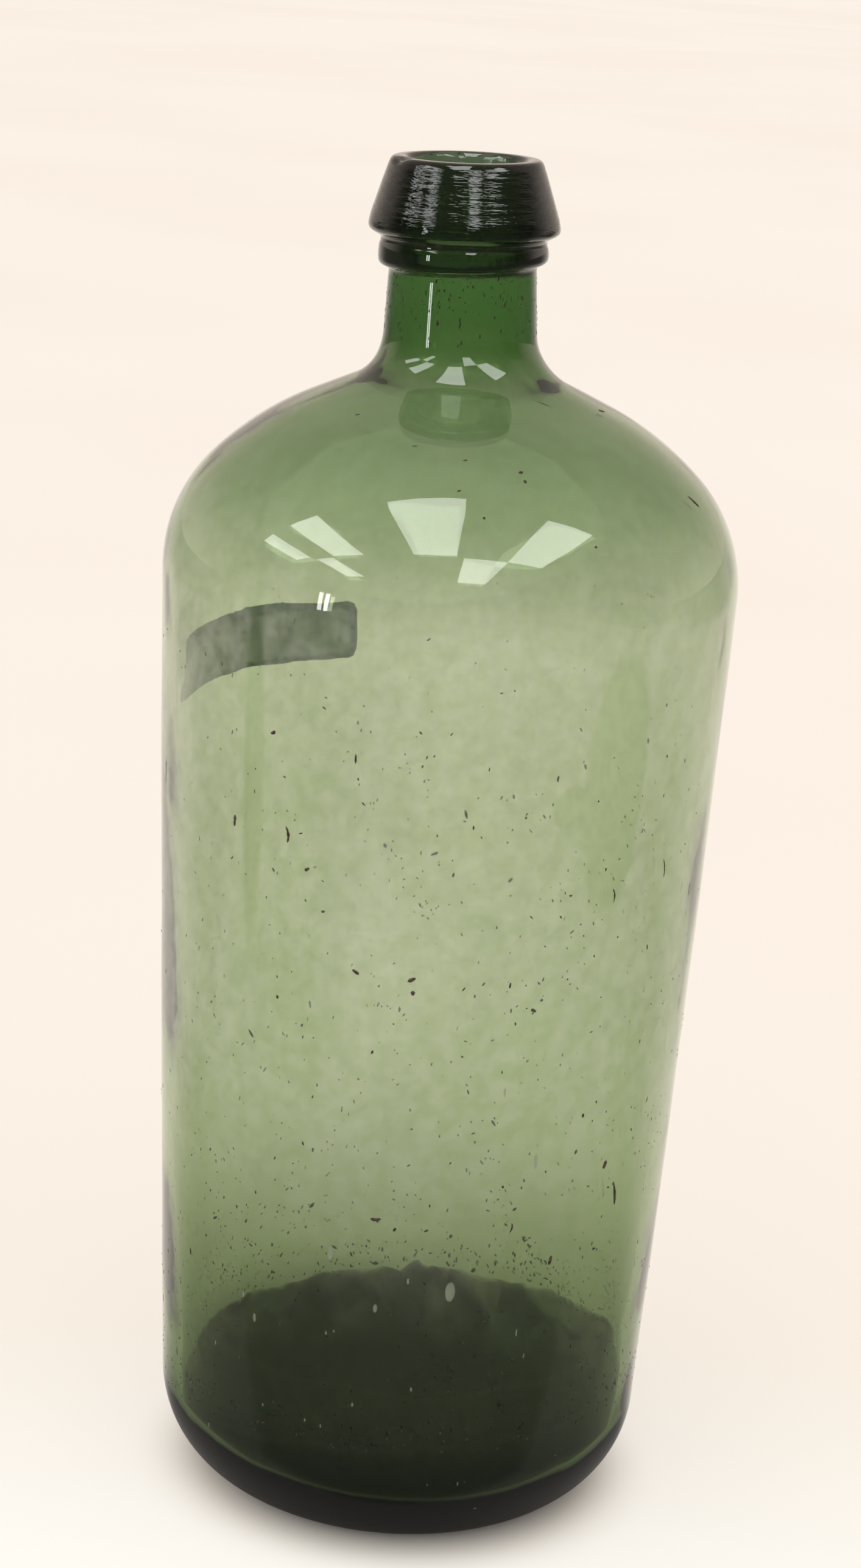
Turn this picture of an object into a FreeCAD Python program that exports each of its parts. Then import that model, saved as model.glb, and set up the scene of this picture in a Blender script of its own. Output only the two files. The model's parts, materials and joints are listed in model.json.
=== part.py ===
import FreeCAD, Part
import math
import os

# Hand blown utility bottle of thick green glass, one blown piece, with a bare label on its back.
# Sizes are millimetres and degrees. The origin is the centre of the resting ring, +Z is up.
# The front of the bottle faces -Y, and the neck leans a little towards -X.

# Overall
height = 305.0

# Foot
heel_round = 24.4
foot_radius = 55.4
underside_slope = 15.0
ring_width = 4.0
kick_height = 5.0
kick_top_radius = 9.0

# Shoulder
body_radius = 63.2
shoulder_round = 34.0
shoulder_turn = 44.0
crown_round = 67.0
crown_turn = 65.0

# Neck, from the spring of the shoulder up to the string ring
neck_height = 67.1
neck_lean = 1.4
neck_radius = 15.9
neck_taper = 2.9
neck_root_round = 12.5

# String ring, the collar below the lip
ring_height = 6.1
ring_radius = 18.25
ring_rise = 1.3
groove_radius = 17.9

# Lip
lip_height = 17.0
lip_radius = 20.7
lip_rise = 1.2
lip_top_radius = 16.3
lip_top_bevel = 0.6

# The worn lower edge of the ring and of the lip
edge_bevel = 0.7
edge_bevel_height = 1.3

# Inside
bore_radius = 12.25
mouth_bevel = 1.0
throat_rise = 8.6
throat_taper = 25.0
wall = 2.6
heel_wall = 4.0
heel_inner_round = 14.0
floor_thickness = 5.0
crown_steepening = 3.0
inside_bands = 3

# Label, a strip stuck round the back of the side. Its middle is counted in degrees from +X towards +Y
label_drop = 20.5
label_height = 15.0
label_length = 70.0
label_middle = 143.0
label_thickness = 0.25
label_glue = 0.1
label_corner = 2.5

# Levels of the joins, counted down from the mouth
lip_level = height - lip_height
ring_level = lip_level - ring_height
shoulder_level = ring_level - neck_height

# The neck is drawn from this level, inside the shoulder, and its bore from the same one
neck_start = shoulder_level + shoulder_round / 2

# Inside, the crown is a little steeper than outside, so its wall thickens towards the neck
inner_crown_turn = crown_turn - crown_steepening

# A tool reaches this far past the face it cuts
overshoot = 5.0


# The upright axis of the body
axis_foot = FreeCAD.Vector(0, 0, 0)
upright = FreeCAD.Vector(0, 0, 1)


def on_circle(centre, radius, degrees):
    angle = math.radians(degrees)
    return (centre[0] + radius * math.cos(angle), centre[1] + radius * math.sin(angle))


def point(place):
    return FreeCAD.Vector(place[0], 0, place[1])


def line(start, end):
    return Part.LineSegment(point(start), point(end)).toShape()


def bend(start, middle, end):
    return Part.Arc(point(start), point(middle), point(end)).toShape()


def arc(centre, radius, start_degrees, end_degrees):
    half_way = (start_degrees + end_degrees) / 2
    places = [on_circle(centre, radius, d) for d in (start_degrees, half_way, end_degrees)]
    return bend(*places)


def side_slope(low, low_radius, high, high_radius):
    """Direction, in degrees from level, of the radius where one straight side touches two circles."""
    lean = math.degrees(math.atan2(high[0] - low[0], high[1] - low[1]))
    apart = math.hypot(high[0] - low[0], high[1] - low[1])
    spread = math.degrees(math.asin((high_radius - low_radius) / apart))
    return -(lean + spread)


def spun(edges):
    """A solid of revolution about the upright axis, from edges that run from the axis round to it."""
    first = edges[0].firstVertex().Point
    last = edges[-1].lastVertex().Point
    outline = Part.Wire(edges + [Part.LineSegment(last, first).toShape()])
    return Part.Face(outline).revolve(axis_foot, upright, 360)


def straight(corners):
    """Straight runs from corner to corner."""
    return [line(start, end) for start, end in zip(corners, corners[1:])]


def banded(centre, radius, start_degrees, end_degrees):
    """Corners that follow a round of the inside in straight bands of equal length."""
    step = (end_degrees - start_degrees) / inside_bands
    return [on_circle(centre, radius, start_degrees + step * n) for n in range(inside_bands + 1)]


def leaned(shape):
    """The neck and all in it lean together, about the middle of the shoulder."""
    pivot = FreeCAD.Vector(0, 0, shoulder_level)
    return shape.rotate(pivot, FreeCAD.Vector(0, 1, 0), -neck_lean)


def root_edges(shape):
    """The edges that run round the root of the neck, between its start and the string ring."""
    found = []
    for edge in shape.Edges:
        box = edge.BoundBox
        runs_round = max(box.XLength, box.YLength) > neck_radius and box.ZLength < box.DiagonalLength / 2
        if runs_round and neck_start < box.ZMin and box.ZMax < ring_level:
            found.append(edge)
    return found


# Centres of the heel, shoulder and crown rounds, and where the shoulder ends inside
heel_centre = (foot_radius - heel_round, heel_round)
shoulder_centre = (body_radius - shoulder_round, shoulder_level)
crown_centre = on_circle(shoulder_centre, shoulder_round - crown_round, shoulder_turn)
inner_crown_start = on_circle(shoulder_centre, shoulder_round - wall, inner_crown_turn)


# The straight side, from the heel to the shoulder
side_direction = side_slope(heel_centre, heel_round, shoulder_centre, shoulder_round)
side_foot = on_circle(heel_centre, heel_round, side_direction)
side_top = on_circle(shoulder_centre, shoulder_round, side_direction)


def cone_level(start, turn, radius):
    """Level at a radius of the cone that goes on from a round, at the slope where it has made this turn."""
    return start[1] + (start[0] - radius) / math.tan(math.radians(turn))


def outer_body():
    heel_start = underside_slope - 90.0
    ring_outer = heel_centre[0] + heel_round * math.tan(math.radians(underside_slope / 2))
    ring_inner = ring_outer - ring_width
    halfway = shoulder_turn / 2
    crown_end = on_circle(crown_centre, crown_round, crown_turn)
    underside = [
        (0.0, kick_height),
        (kick_top_radius, kick_height),
        (ring_inner, 0.0),
        (ring_outer, 0.0),
        on_circle(heel_centre, heel_round, heel_start),
    ]
    return spun(
        straight(underside)
        + [
            arc(heel_centre, heel_round, heel_start, side_direction),
            line(side_foot, side_top),
            arc(shoulder_centre, shoulder_round, side_direction, halfway),
            arc(shoulder_centre, shoulder_round, halfway, shoulder_turn),
            arc(crown_centre, crown_round, shoulder_turn, crown_turn),
            line(crown_end, (0.0, cone_level(crown_end, crown_turn, 0.0))),
        ]
    )


def inner_body():
    floor = kick_height + floor_thickness
    low_centre = (foot_radius - heel_wall - heel_inner_round, floor + heel_inner_round)
    high_radius = shoulder_round - wall
    slope = side_slope(low_centre, heel_inner_round, shoulder_centre, high_radius)
    heel = banded(low_centre, heel_inner_round, -90.0, slope)
    shoulder = banded(shoulder_centre, high_radius, slope, inner_crown_turn)
    top = (0.0, cone_level(inner_crown_start, inner_crown_turn, 0.0))
    return spun(straight([(0.0, floor)] + heel + shoulder + [top]))


def outer_neck():
    start_radius = neck_radius + (ring_level - neck_start) * math.tan(math.radians(neck_taper))
    ring_edge = ring_level + ring_rise
    lip_edge = lip_level + lip_rise
    corners = [
        (0.0, neck_start),
        (start_radius, neck_start),
        (neck_radius, ring_level),
        (ring_radius - edge_bevel, ring_edge),
        (ring_radius, ring_edge + edge_bevel_height),
        (groove_radius, lip_level),
        (lip_radius - edge_bevel, lip_edge),
        (lip_radius, lip_edge + edge_bevel_height),
        (lip_top_radius, height - lip_top_bevel),
        (lip_top_radius - lip_top_bevel, height),
        (0.0, height),
    ]
    return leaned(spun(straight(corners)))


def inner_neck():
    throat_level = cone_level(inner_crown_start, inner_crown_turn, bore_radius) + throat_rise
    throat_radius = bore_radius + (throat_level - neck_start) * math.tan(math.radians(throat_taper))
    corners = [
        (0.0, neck_start),
        (throat_radius, neck_start),
        (bore_radius, throat_level),
        (bore_radius, height - mouth_bevel),
        (bore_radius + mouth_bevel + overshoot, height + overshoot),
        (0.0, height + overshoot),
    ]
    return leaned(spun(straight(corners)))


def bottle():
    joined = outer_body().fuse(outer_neck()).removeSplitter()
    outside = joined.makeFillet(neck_root_round, root_edges(joined))
    hollow = inner_body().fuse(inner_neck())
    return outside.cut(hollow)


def beside_side(level, distance):
    """A place at a level of the straight side, this far out from it."""
    part_way = (level - side_foot[1]) / (side_top[1] - side_foot[1])
    radius = side_foot[0] + (side_top[0] - side_foot[0]) * part_way
    return on_circle((radius, level), distance, side_direction)


def label():
    """A thin strip that follows the side, cut square with rounded corners."""
    top_level = shoulder_level - label_drop
    low_level = top_level - label_height
    outer_face = label_glue + label_thickness
    low = beside_side(low_level, label_glue)
    section = [
        low,
        beside_side(low_level, outer_face),
        beside_side(top_level, outer_face),
        beside_side(top_level, label_glue),
        low,
    ]
    span = math.degrees(label_length / low[0])
    strip = Part.Face(Part.Wire(straight(section))).revolve(axis_foot, upright, span)
    strip.rotate(axis_foot, upright, label_middle - span / 2)
    corners = [edge for edge in strip.Edges if edge.Length < 2 * label_thickness]
    return strip.makeFillet(label_corner, corners)


os.makedirs("parts", exist_ok=True)
bottle().exportStep("parts/bottle.step")
label().exportStep("parts/label.step")
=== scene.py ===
import json
import math
import random

import bmesh
import bpy
from mathutils import Matrix, Vector, noise


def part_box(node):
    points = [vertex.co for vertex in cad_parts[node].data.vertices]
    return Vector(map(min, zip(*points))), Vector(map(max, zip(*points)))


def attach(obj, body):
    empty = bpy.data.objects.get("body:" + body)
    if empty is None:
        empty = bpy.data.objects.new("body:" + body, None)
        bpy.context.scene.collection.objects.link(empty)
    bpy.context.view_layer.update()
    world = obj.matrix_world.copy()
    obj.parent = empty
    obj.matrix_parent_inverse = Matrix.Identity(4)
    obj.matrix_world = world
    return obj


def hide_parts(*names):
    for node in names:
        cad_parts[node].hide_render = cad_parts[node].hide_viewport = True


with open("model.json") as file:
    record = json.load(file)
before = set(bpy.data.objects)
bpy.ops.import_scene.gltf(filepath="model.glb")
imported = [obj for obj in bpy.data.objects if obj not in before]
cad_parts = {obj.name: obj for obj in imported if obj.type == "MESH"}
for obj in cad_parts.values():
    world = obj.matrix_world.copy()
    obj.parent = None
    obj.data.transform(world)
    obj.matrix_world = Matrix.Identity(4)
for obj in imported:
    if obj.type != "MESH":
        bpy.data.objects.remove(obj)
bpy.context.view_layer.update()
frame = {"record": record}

MM = 0.001
SEED = 7
random.seed(SEED)
noise.seed_set(SEED)

# The bottle's sizes, from the frame
bore = next(m for m in frame["record"]["mounts"] if m["name"] == "mouth")
BORE_RADIUS = bore["dims"]["r_mm"] * MM
LEAN = math.atan2(bore["axis"][0], bore["axis"][2])
BODY_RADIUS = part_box("bottle")[1][0]

# Levels and radii of the outside, in metres
HEIGHT = 0.3050
FOOT_RADIUS = 0.0554
HEEL_ROUND = 0.0244
UNDERSIDE_SLOPE = 15.0
RING_WIDTH = 0.0040
KICK_HEIGHT = 0.0050
KICK_TOP_RADIUS = 0.0090
KICK_FOOT_LIFT = 0.0002
KICK_FOOT_WIDTH = 0.0015
SIDE_BOW = 0.00036
SHOULDER_LEVEL = 0.2148
SHOULDER_ROUND = 0.0340
SHOULDER_TURN = 44.0
CROWN_ROUND = 0.0670
CROWN_TURN = 65.0
NECK_RADIUS = 0.0159
NECK_TAPER = 2.9
NECK_ROOT_ROUND = 0.0125
LEAN_START = 0.2520
LEAN_END = 0.2670
RING_LEVEL = 0.2819
RING_RADIUS = 0.01825
GROOVE_RADIUS = 0.0178
LIP_LEVEL = 0.2880
LIP_RADIUS = 0.0207
LIP_TOP_RADIUS = 0.0163

# The inside
WALL = 0.0026
HEEL_WALL = 0.0040
HEEL_INNER_ROUND = 0.0140
FLOOR_LEVEL = 0.0100
THROAT_ROUND = 0.0130

# Corners of the string ring, the lip and the mouth, from the neck up and over into the bore
RING_CORNERS = {
    "neck_top": (NECK_RADIUS, RING_LEVEL - 0.0006),
    "underside": (NECK_RADIUS + 0.0003, RING_LEVEL + 0.0004),
    "lower_edge": (RING_RADIUS - 0.0004, RING_LEVEL + 0.0008),
    "widest": (RING_RADIUS + 0.0001, RING_LEVEL + 0.0018),
    "upper_edge": (RING_RADIUS, RING_LEVEL + 0.0042),
    "groove": (GROOVE_RADIUS + 0.0001, LIP_LEVEL - 0.0009),
}
LIP_FOOT_CORNERS = {
    "groove": RING_CORNERS["groove"],
    "underside": (GROOVE_RADIUS, LIP_LEVEL + 0.0002),
    "lower_edge": (LIP_RADIUS - 0.0010, LIP_LEVEL + 0.0011),
    "widest": (LIP_RADIUS + 0.0001, LIP_LEVEL + 0.0020),
    "side_foot": (LIP_RADIUS - 0.0005, LIP_LEVEL + 0.0048),
}
LIP_SIDE_CORNERS = {
    "side_foot": LIP_FOOT_CORNERS["side_foot"],
    "bevel_foot": (LIP_TOP_RADIUS + 0.0004, HEIGHT - 0.0014),
    "bevel_top": (LIP_TOP_RADIUS - 0.0004, HEIGHT - 0.0001),
    "rim": (LIP_TOP_RADIUS - 0.0016, HEIGHT),
}
MOUTH_CORNERS = {
    "rim": LIP_SIDE_CORNERS["rim"],
    "bevel": (BORE_RADIUS + 0.0004, HEIGHT),
    "bore_top": (BORE_RADIUS, HEIGHT - 0.0024),
}

# How many steps each run of the two profiles has, and the angles round them
OUTER_STEPS = {
    "kick": 8,
    "resting_ring": 3,
    "ring_to_heel": 2,
    "heel": 28,
    "side": 36,
    "shoulder": 24,
    "crown": 14,
    "cone": 4,
    "root": 20,
    "neck": 10,
    "string_ring": 22,
    "lip_foot": 16,
    "lip_side": 54,
}
INNER_STEPS = {
    "mouth": 9,
    "bore": 14,
    "throat": 16,
    "cone": 5,
    "crown": 12,
    "shoulder": 18,
    "side": 28,
    "heel": 16,
    "floor": 8,
}
AROUND = 240
ANGLES = [2 * math.pi * n / AROUND for n in range(AROUND)]

GLASS_DENSITY = 400.0
GLASS_COLOUR = (0.74, 0.815, 0.655, 1.0)

# Camera, solved from the photograph: place, turn to the side, pitch down and roll
CAMERA_PLACE = Vector((0.0, -0.700, 0.3678))
CAMERA_YAW = -0.0019
CAMERA_PITCH = 0.2801
CAMERA_ROLL = -0.0654
FOCAL_PIXELS = 5348.0
PICTURE_WIDTH = 1414.0
PICTURE_HEIGHT = 2576.0
SENSOR = 36.0

level_pitch = math.cos(CAMERA_PITCH)
FORWARD = Vector(
    (
        math.sin(CAMERA_YAW) * level_pitch,
        math.cos(CAMERA_YAW) * level_pitch,
        -math.sin(CAMERA_PITCH),
    )
)
level_right = Vector((math.cos(CAMERA_YAW), -math.sin(CAMERA_YAW), 0.0))
level_down = FORWARD.cross(level_right)
RIGHT = level_right * math.cos(CAMERA_ROLL) + level_down * math.sin(CAMERA_ROLL)
DOWN = level_down * math.cos(CAMERA_ROLL) - level_right * math.sin(CAMERA_ROLL)


def add_camera():
    data = bpy.data.cameras.new("camera")
    data.sensor_width = SENSOR
    data.lens = FOCAL_PIXELS / PICTURE_HEIGHT * SENSOR
    data.clip_start = 0.01
    data.clip_end = 100.0
    obj = bpy.data.objects.new("camera", data)
    bpy.context.scene.collection.objects.link(obj)
    turn = Matrix((RIGHT, -DOWN, -FORWARD)).transposed()
    obj.matrix_world = Matrix.Translation(CAMERA_PLACE) @ turn.to_4x4()
    bpy.context.scene.camera = obj


add_camera()


def on_circle(centre, radius, degrees):
    angle = math.radians(degrees)
    return (centre[0] + radius * math.cos(angle), centre[1] + radius * math.sin(angle))


def arc_run(centre, radius, start, end, count):
    return [on_circle(centre, radius, start + (end - start) * n / count) for n in range(count + 1)]


def line_run(start, end, count):
    return [
        (start[0] + (end[0] - start[0]) * n / count, start[1] + (end[1] - start[1]) * n / count)
        for n in range(count + 1)
    ]


def bowed_run(start, end, bow, count):
    return [
        (r + 4 * bow * (n / count) * (1 - n / count), z)
        for n, (r, z) in enumerate(line_run(start, end, count))
    ]


def soft_run(corners, count, passes=3):
    """A smooth run that cuts the corners of a polyline, with its two ends kept."""
    points = list(corners)
    for _ in range(passes):
        cut = [points[0]]
        for p, q in zip(points, points[1:]):
            cut.append((0.75 * p[0] + 0.25 * q[0], 0.75 * p[1] + 0.25 * q[1]))
            cut.append((0.25 * p[0] + 0.75 * q[0], 0.25 * p[1] + 0.75 * q[1]))
        points = cut + [points[-1]]
    return evenly(points, count)


def evenly(points, count):
    """The same run with count equal steps."""
    lengths = [0.0]
    for p, q in zip(points, points[1:]):
        lengths.append(lengths[-1] + math.dist(p, q))
    out = []
    k = 0
    for n in range(count + 1):
        target = lengths[-1] * n / count
        while k < len(points) - 2 and lengths[k + 1] < target:
            k += 1
        span = lengths[k + 1] - lengths[k]
        t = (target - lengths[k]) / span if span > 0 else 0.0
        p, q = points[k], points[k + 1]
        out.append((p[0] + (q[0] - p[0]) * t, p[1] + (q[1] - p[1]) * t))
    return out


def side_direction(low, low_radius, high, high_radius):
    """Degrees from level of the radius where one straight side touches two circles."""
    lean = math.atan2(high[0] - low[0], high[1] - low[1])
    spread = math.asin((high_radius - low_radius) / math.dist(low, high))
    return -math.degrees(lean + spread)


heel_centre = (FOOT_RADIUS - HEEL_ROUND, HEEL_ROUND)
shoulder_centre = (BODY_RADIUS - SHOULDER_ROUND, SHOULDER_LEVEL)
crown_centre = on_circle(shoulder_centre, SHOULDER_ROUND - CROWN_ROUND, SHOULDER_TURN)
crown_end = on_circle(crown_centre, CROWN_ROUND, CROWN_TURN)
slope = side_direction(heel_centre, HEEL_ROUND, shoulder_centre, SHOULDER_ROUND)


def root_round(crown_place, neck_radius, neck_taper, size):
    """Centre of the hollow round between the crown's cone and the neck's side."""
    crown = math.radians(CROWN_TURN)
    taper = math.radians(neck_taper)
    a, b = math.cos(crown), math.sin(crown)
    c, d = math.cos(taper), math.sin(taper)
    crown_reach = a * crown_place[0] + b * crown_place[1] + size
    neck_reach = c * neck_radius + d * RING_LEVEL + size
    spread = a * d - b * c
    return (
        (crown_reach * d - b * neck_reach) / spread,
        (a * neck_reach - c * crown_reach) / spread,
    )


root_centre = root_round(crown_end, NECK_RADIUS, NECK_TAPER, NECK_ROOT_ROUND)


def joined(runs):
    points = [runs[0][0]]
    for run in runs:
        points += run[1:]
    return points


def outer_profile():
    """Radius and level pairs up the outside, from the middle of the underside to the mouth."""
    ring_outer = heel_centre[0] + HEEL_ROUND * math.tan(math.radians(UNDERSIDE_SLOPE / 2))
    ring_inner = ring_outer - RING_WIDTH
    heel_start = on_circle(heel_centre, HEEL_ROUND, UNDERSIDE_SLOPE - 90.0)
    side_foot = on_circle(heel_centre, HEEL_ROUND, slope)
    side_top = on_circle(shoulder_centre, SHOULDER_ROUND, slope)
    root = on_circle(root_centre, NECK_ROOT_ROUND, 180.0 + CROWN_TURN)
    neck_foot = on_circle(root_centre, NECK_ROOT_ROUND, 180.0 + NECK_TAPER)
    kick = [(0.0, KICK_HEIGHT), (KICK_TOP_RADIUS, KICK_HEIGHT), (ring_inner, KICK_FOOT_LIFT)]
    flat = [(ring_inner, KICK_FOOT_LIFT), (ring_inner + KICK_FOOT_WIDTH, 0.0), (ring_outer, 0.0)]
    heel_turn = UNDERSIDE_SLOPE - 90.0
    root_turns = (180.0 + CROWN_TURN, 180.0 + NECK_TAPER)
    steps = OUTER_STEPS
    return joined(
        [
            soft_run(kick, steps["kick"]),
            soft_run(flat, steps["resting_ring"]),
            line_run((ring_outer, 0.0), heel_start, steps["ring_to_heel"]),
            arc_run(heel_centre, HEEL_ROUND, heel_turn, slope, steps["heel"]),
            bowed_run(side_foot, side_top, SIDE_BOW, steps["side"]),
            arc_run(shoulder_centre, SHOULDER_ROUND, slope, SHOULDER_TURN, steps["shoulder"]),
            arc_run(crown_centre, CROWN_ROUND, SHOULDER_TURN, CROWN_TURN, steps["crown"]),
            line_run(crown_end, root, steps["cone"]),
            arc_run(root_centre, NECK_ROOT_ROUND, *root_turns, steps["root"]),
            line_run(neck_foot, RING_CORNERS["neck_top"], steps["neck"]),
            soft_run(RING_CORNERS.values(), steps["string_ring"]),
            soft_run(LIP_FOOT_CORNERS.values(), steps["lip_foot"]),
            soft_run(LIP_SIDE_CORNERS.values(), steps["lip_side"]),
        ]
    )


def inner_profile():
    """Radius and level pairs down the inside, from the mouth to the middle of the floor."""
    low_centre = (FOOT_RADIUS - HEEL_WALL - HEEL_INNER_ROUND, FLOOR_LEVEL + HEEL_INNER_ROUND)
    high_radius = SHOULDER_ROUND - WALL
    inner_slope = side_direction(low_centre, HEEL_INNER_ROUND, shoulder_centre, high_radius)
    side_top = on_circle(shoulder_centre, high_radius, inner_slope)
    side_foot = on_circle(low_centre, HEEL_INNER_ROUND, inner_slope)
    inner_crown = CROWN_ROUND - WALL
    inner_crown_end = on_circle(crown_centre, inner_crown, CROWN_TURN)
    throat_centre = root_round(inner_crown_end, BORE_RADIUS, 0.0, THROAT_ROUND)
    throat_foot = on_circle(throat_centre, THROAT_ROUND, 180.0 + CROWN_TURN)
    bore_top = MOUTH_CORNERS["bore_top"]
    bore_foot = (BORE_RADIUS, throat_centre[1])
    floor_edge = (low_centre[0], FLOOR_LEVEL)
    steps = INNER_STEPS
    return joined(
        [
            soft_run(MOUTH_CORNERS.values(), steps["mouth"]),
            line_run(bore_top, bore_foot, steps["bore"]),
            arc_run(throat_centre, THROAT_ROUND, 180.0, 180.0 + CROWN_TURN, steps["throat"]),
            line_run(throat_foot, inner_crown_end, steps["cone"]),
            arc_run(crown_centre, inner_crown, CROWN_TURN, SHOULDER_TURN, steps["crown"]),
            arc_run(shoulder_centre, high_radius, SHOULDER_TURN, inner_slope, steps["shoulder"]),
            line_run(side_top, side_foot, steps["side"]),
            arc_run(low_centre, HEEL_INNER_ROUND, inner_slope, -90.0, steps["heel"]),
            line_run(floor_edge, (0.0, FLOOR_LEVEL), steps["floor"]),
        ]
    )


OUTSIDE = outer_profile()
INSIDE = inner_profile()


# No upright wall is narrower than this
LEAST_WALL_RADIUS = 0.012


def radius_at(profile, level):
    """The profile's radius at a level of the side, shoulder or neck."""
    for (r1, z1), (r2, z2) in zip(profile, profile[1:]):
        upright = z1 != z2 and max(r1, r2) > LEAST_WALL_RADIUS
        if upright and min(z1, z2) <= level <= max(z1, z2):
            return r1 + (r2 - r1) * (level - z1) / (z2 - z1)
    return None


def smooth_step(low, high, value):
    t = min(1.0, max(0.0, (value - low) / (high - low)))
    return t * t * (3 - 2 * t)


def leaned(x, y, level):
    """The neck leans about the middle of the shoulder. The crown below it is upright."""
    share = smooth_step(LEAN_START, LEAN_END, level)
    turn = LEAN * share
    rise = level - SHOULDER_LEVEL
    return Vector(
        (
            x * math.cos(turn) + rise * math.sin(turn),
            y,
            SHOULDER_LEVEL + rise * math.cos(turn) - x * math.sin(turn),
        )
    )


WANDER_HEIGHT = 0.06


def wander(angle, level, size, seed):
    """A smooth pattern round the bottle, between about -1 and 1."""
    place = Vector((math.cos(angle), math.sin(angle), level / WANDER_HEIGHT)) * size
    return noise.noise(place + Vector((seed * 7.3, seed * 3.1, seed * 5.7)))


# Patterns of the two skins: how far they move, their size and their seed
OUTER_WAVES = ((0.00022, 1.3, 1), (0.00008, 4.0, 2))
INNER_WAVES = ((0.00030, 1.8, 3), (0.00012, 5.0, 4))

# The uneven skin keeps within the solid's widest place
SKIN_IN = 0.00010

# The underside and the floor are even in their middle, and the waves grow over the heel
EVEN_RADIUS = 0.030
EVEN_LEVEL = 0.02
HEEL_TOP = 0.03

# Above these levels, the waves are this much smaller
OUTER_NECK_LEVEL = 0.25
OUTER_NECK_SHARE = 0.4
INNER_NECK_LEVEL = 0.262
INNER_NECK_SHARE = 0.3

# Lines that the tool turned into the lip: between which levels, how many a metre, and how deep
LIP_LINES_START = (0.2895, 0.2915)
LIP_LINES_END = 0.0012
LIP_LINES = 1300.0
LIP_LINES_DEPTH = 0.000016
FINE_LINES = 3400.0
FINE_LINES_DEPTH = 0.000006


def waves(table, angle, level):
    return sum(depth * wander(angle, level, size, seed) for depth, size, seed in table)


def turned_lines(angle, level, count, uneven):
    place = (level * count, math.cos(angle) * uneven, math.sin(angle) * uneven)
    return noise.noise(Vector(place))


def outer_radius(radius, angle, level):
    """The hand made form: the body is never quite round, and the lip has the marks of its tool."""
    if radius < EVEN_RADIUS and level < EVEN_LEVEL:
        return radius
    body = waves(OUTER_WAVES, angle, level) - SKIN_IN
    if level < OUTER_NECK_LEVEL:
        return radius + body * smooth_step(0.0, HEEL_TOP, level)
    lip = smooth_step(*LIP_LINES_START, level)
    lip *= smooth_step(HEIGHT, HEIGHT - LIP_LINES_END, level)
    lines = LIP_LINES_DEPTH * turned_lines(angle, level, LIP_LINES, 0.8)
    lines += FINE_LINES_DEPTH * turned_lines(angle, level, FINE_LINES, 2.5)
    return radius + OUTER_NECK_SHARE * body + lip * lines


def inner_radius(radius, angle, level):
    if radius < EVEN_RADIUS and level < EVEN_LEVEL:
        return radius
    body = waves(INNER_WAVES, angle, level)
    if level > INNER_NECK_LEVEL:
        body *= INNER_NECK_SHARE
    return radius + body * smooth_step(0.0, HEEL_TOP, level)


# The string ring was wound on by hand, so its lower edge rises to the right and wavers
RING_RISE = 0.00055
RING_WAVER = 0.00035
WAVER_SIZE = 1.6
WAVER_SEED = 4.2
RING_MOVE_START = (RING_LEVEL - 0.0030, RING_LEVEL)
RING_MOVE_END = (RING_LEVEL + 0.0048, RING_LEVEL + 0.0012)

# A chip in the rim: where, how wide, in degrees, and how deep
CHIP_TURN = 206.0
CHIP_WIDTH = 9.0
CHIP_DEPTH = 0.0007
CHIP_LEVELS = (HEIGHT - 0.0022, HEIGHT - 0.0004)


def level_shift(angle, level):
    ring = smooth_step(*RING_MOVE_START, level) * smooth_step(*RING_MOVE_END, level)
    place = (math.cos(angle) * WAVER_SIZE, math.sin(angle) * WAVER_SIZE, WAVER_SEED)
    shift = ring * (RING_RISE * math.cos(angle) + RING_WAVER * noise.noise(Vector(place)))
    away = (math.degrees(angle) - CHIP_TURN) / CHIP_WIDTH
    chip = math.exp(-away * away) * smooth_step(*CHIP_LEVELS, level)
    return shift - CHIP_DEPTH * chip


def spun_ring(bm, radius, level, shape):
    ring = []
    for angle in ANGLES:
        r = shape(radius, angle, level)
        z = level + (level_shift(angle, level) if shape is outer_radius else 0.0)
        ring.append(bm.verts.new(leaned(r * math.cos(angle), r * math.sin(angle), z)))
    return ring


def close_rings(bm, rings):
    for low, high in zip(rings, rings[1:]):
        for n in range(len(max(low, high, key=len))):
            m = (n + 1) % AROUND
            if len(low) == 1:
                face = [low[0], high[n], high[m]]
            elif len(high) == 1:
                face = [low[n], high[0], low[m]]
            else:
                face = [low[n], high[n], high[m], low[m]]
            bm.faces.new(face)


def new_object(name, bm, material):
    bmesh.ops.recalc_face_normals(bm, faces=bm.faces)
    mesh = bpy.data.meshes.new(name)
    bm.to_mesh(mesh)
    bm.free()
    mesh.polygons.foreach_set("use_smooth", [True] * len(mesh.polygons))
    obj = bpy.data.objects.new(name, mesh)
    bpy.context.scene.collection.objects.link(obj)
    mesh.materials.append(material)
    return obj


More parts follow.
